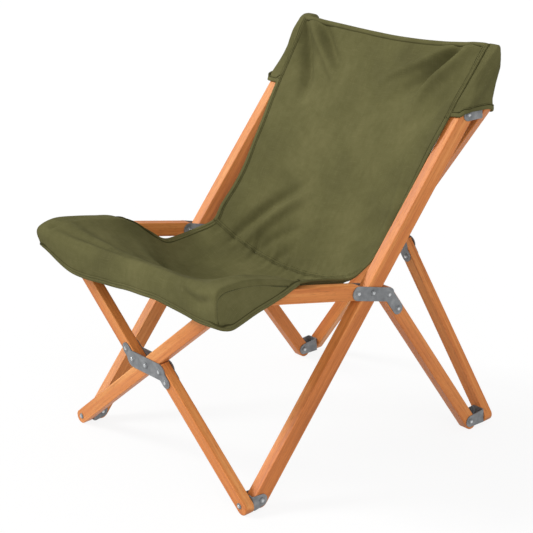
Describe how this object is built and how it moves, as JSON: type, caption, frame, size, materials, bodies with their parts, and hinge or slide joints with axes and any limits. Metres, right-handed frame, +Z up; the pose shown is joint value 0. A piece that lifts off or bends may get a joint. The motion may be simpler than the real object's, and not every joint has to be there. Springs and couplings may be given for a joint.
{
  "type": "folding sling chair",
  "caption": "Folding lounge chair: crossed wooden bars pinned with steel straps and brackets carry a canvas sling by corner pockets.",
  "frame": {"origin": "middle of the footprint of the whole open chair, on the floor", "axes": "+Z up, -Y towards the front of the seat, +X to the right of someone facing the chair"},
  "size_m": [0.5942, 0.767, 0.835],
  "materials": {
    "wood": "oiled, straight grain",
    "galvanised": "matt zinc coat",
    "canvas": "heavy plain weave"
  },
  "bodies": {
    "side_right": {"side_bar_right": "wood", "sling_back": "canvas", "pocket_top_right": "canvas"},
    "leg_right": {"rear_leg_right": "wood", "side_strap_right_outer": "galvanised", "side_strap_right_inner": "galvanised", "main_pivot_right": "galvanised"},
    "rail_right": {"seat_rail_right": "wood", "rail_pin_right": "galvanised", "sling_seat": "canvas", "pocket_seat_right": "canvas"},
    "side_left": {"side_bar_left": "wood", "pocket_top_left": "canvas"},
    "leg_left": {"rear_leg_left": "wood", "side_strap_left_outer": "galvanised", "side_strap_left_inner": "galvanised", "main_pivot_left": "galvanised"},
    "rail_left": {"seat_rail_left": "wood", "rail_pin_left": "galvanised", "pocket_seat_left": "canvas"},
    "front_bar": {"front_bar_solid": "wood"},
    "front_arms": {"front_arm_upper": "wood", "front_arm_lower": "wood", "front_strap_outer": "galvanised", "front_strap_inner": "galvanised", "front_cross_pin": "galvanised"},
    "back_bar": {"back_bar_solid": "wood", "face_pin_rear_foot_left": "galvanised"},
    "back_arms": {"back_arm_upper": "wood", "back_arm_lower": "wood", "back_strap_outer": "galvanised", "back_strap_inner": "galvanised", "back_cross_pin": "galvanised", "face_pin_top_left": "galvanised", "face_pin_rear_foot_right": "galvanised"},
    "bracket_front_foot_right": {"bracket_front_foot_right": "galvanised", "ear_pin_front_foot_right": "galvanised", "face_pin_front_foot_right": "galvanised"},
    "bracket_seat_right": {"bracket_seat_right": "galvanised", "ear_pin_seat_right": "galvanised", "face_pin_seat_right": "galvanised"},
    "bracket_top_right": {"bracket_top_right": "galvanised", "ear_pin_top_right": "galvanised", "face_pin_top_right": "galvanised"},
    "bracket_rear_foot_right": {"bracket_rear_foot_right": "galvanised", "ear_pin_rear_foot_right": "galvanised"},
    "bracket_front_foot_left": {"bracket_front_foot_left": "galvanised", "ear_pin_front_foot_left": "galvanised", "face_pin_front_foot_left": "galvanised"},
    "bracket_seat_left": {"bracket_seat_left": "galvanised", "ear_pin_seat_left": "galvanised", "face_pin_seat_left": "galvanised"},
    "bracket_top_left": {"bracket_top_left": "galvanised", "ear_pin_top_left": "galvanised"},
    "bracket_rear_foot_left": {"bracket_rear_foot_left": "galvanised", "ear_pin_rear_foot_left": "galvanised"}
  },
  "joints": [
    {"name": "front_foot_hinge_right", "type": "hinge", "parent": "side_right", "child": "bracket_front_foot_right", "pos_m": [0.2745, -0.27083, 0.02258], "axis": [1, 0, 0], "range_deg": [-19.11, 0]},
    {"name": "front_foot_pivot_right", "type": "hinge", "parent": "bracket_front_foot_right", "child": "front_arms", "pos_m": [0.2745, -0.30441, 0.01979], "axis": [0, -0.9966, -0.0827], "range_deg": [-45.43, 0]},
    {"name": "fold", "type": "hinge", "parent": "front_arms", "child": "front_bar", "pos_m": [0, -0.32191, 0.23059], "axis": [0, -0.9966, -0.0827], "range_deg": [0, 90.85], "deforming": ["sling_back", "sling_seat"]},
    {"name": "front_foot_pivot_left", "type": "hinge", "parent": "front_bar", "child": "bracket_front_foot_left", "pos_m": [-0.2745, -0.30441, 0.01979], "axis": [0, -0.9966, -0.0827], "range_deg": [-45.43, 0]},
    {"name": "front_foot_hinge_left", "type": "hinge", "parent": "bracket_front_foot_left", "child": "side_left", "pos_m": [-0.2745, -0.27083, 0.02258], "axis": [1, 0, 0], "range_deg": [0, 19.11]},
    {"name": "seat_pivot_right", "type": "hinge", "parent": "front_bar", "child": "bracket_seat_right", "pos_m": [0.2745, -0.33941, 0.44139], "axis": [0, -0.9966, -0.0827], "range_deg": [-45.43, 0]},
    {"name": "seat_pivot_left", "type": "hinge", "parent": "front_arms", "child": "bracket_seat_left", "pos_m": [-0.2745, -0.33941, 0.44139], "axis": [0, -0.9966, -0.0827], "range_deg": [0, 45.43]},
    {"name": "rail_hinge_right", "type": "hinge", "parent": "bracket_seat_right", "child": "rail_right", "pos_m": [0.2745, -0.30583, 0.44418], "axis": [1, 0, 0], "range_deg": [-39.21, 0]},
    {"name": "rail_hinge_left", "type": "hinge", "parent": "bracket_seat_left", "child": "rail_left", "pos_m": [-0.2745, -0.30583, 0.44418], "axis": [1, 0, 0], "range_deg": [-39.21, 0]},
    {"name": "leg_hinge_right", "type": "hinge", "parent": "side_right", "child": "leg_right", "pos_m": [0.2745, 0.01378, 0.38473], "axis": [1, 0, 0], "range_deg": [-63.32, 0]},
    {"name": "leg_hinge_left", "type": "hinge", "parent": "side_left", "child": "leg_left", "pos_m": [-0.2745, 0.01378, 0.38473], "axis": [1, 0, 0], "range_deg": [-63.32, 0]},
    {"name": "top_hinge_right", "type": "hinge", "parent": "side_right", "child": "bracket_top_right", "pos_m": [0.2745, 0.26687, 0.70678], "axis": [1, 0, 0], "range_deg": [-34.49, 0]},
    {"name": "top_pivot_right", "type": "hinge", "parent": "bracket_top_right", "child": "back_bar", "pos_m": [0.2745, 0.32003, 0.71064], "axis": [0, 0.9974, 0.0725], "range_deg": [-33.12, 0]},
    {"name": "back_scissors", "type": "hinge", "parent": "back_bar", "child": "back_arms", "pos_m": [0, 0.34498, 0.36754], "axis": [0, 0.9974, 0.0725], "range_deg": [0, 66.23]},
    {"name": "top_hinge_left", "type": "hinge", "parent": "side_left", "child": "bracket_top_left", "pos_m": [-0.2745, 0.26687, 0.70678], "axis": [1, 0, 0], "range_deg": [-34.49, 0]},
    {"name": "rear_foot_hinge_right", "type": "hinge", "parent": "leg_right", "child": "bracket_rear_foot_right", "pos_m": [0.2745, 0.31677, 0.02058], "axis": [1, 0, 0], "range_deg": [0, 28.84]},
    {"name": "rear_foot_hinge_left", "type": "hinge", "parent": "leg_left", "child": "bracket_rear_foot_left", "pos_m": [-0.2745, 0.31677, 0.02058], "axis": [1, 0, 0], "range_deg": [0, 28.84]}
  ],
  "couplings": [
    {"joint": "front_foot_hinge_right", "follows": "fold", "ratio": -0.21029},
    {"joint": "front_foot_pivot_right", "follows": "fold", "ratio": -0.5},
    {"joint": "front_foot_pivot_left", "follows": "fold", "ratio": -0.5},
    {"joint": "front_foot_hinge_left", "follows": "fold", "ratio": 0.21029},
    {"joint": "seat_pivot_right", "follows": "fold", "ratio": -0.5},
    {"joint": "seat_pivot_left", "follows": "fold", "ratio": 0.5},
    {"joint": "rail_hinge_right", "follows": "fold", "ratio": -0.43159},
    {"joint": "rail_hinge_left", "follows": "fold", "ratio": -0.43159},
    {"joint": "leg_hinge_right", "follows": "fold", "ratio": -0.69697},
    {"joint": "leg_hinge_left", "follows": "fold", "ratio": -0.69697},
    {"joint": "top_hinge_right", "follows": "fold", "ratio": -0.3796},
    {"joint": "top_pivot_right", "follows": "fold", "ratio": -0.3645},
    {"joint": "back_scissors", "follows": "fold", "ratio": 0.72899},
    {"joint": "top_hinge_left", "follows": "fold", "ratio": -0.3796},
    {"joint": "rear_foot_hinge_right", "follows": "fold", "ratio": 0.31737},
    {"joint": "rear_foot_hinge_left", "follows": "fold", "ratio": 0.31737}
  ]
}
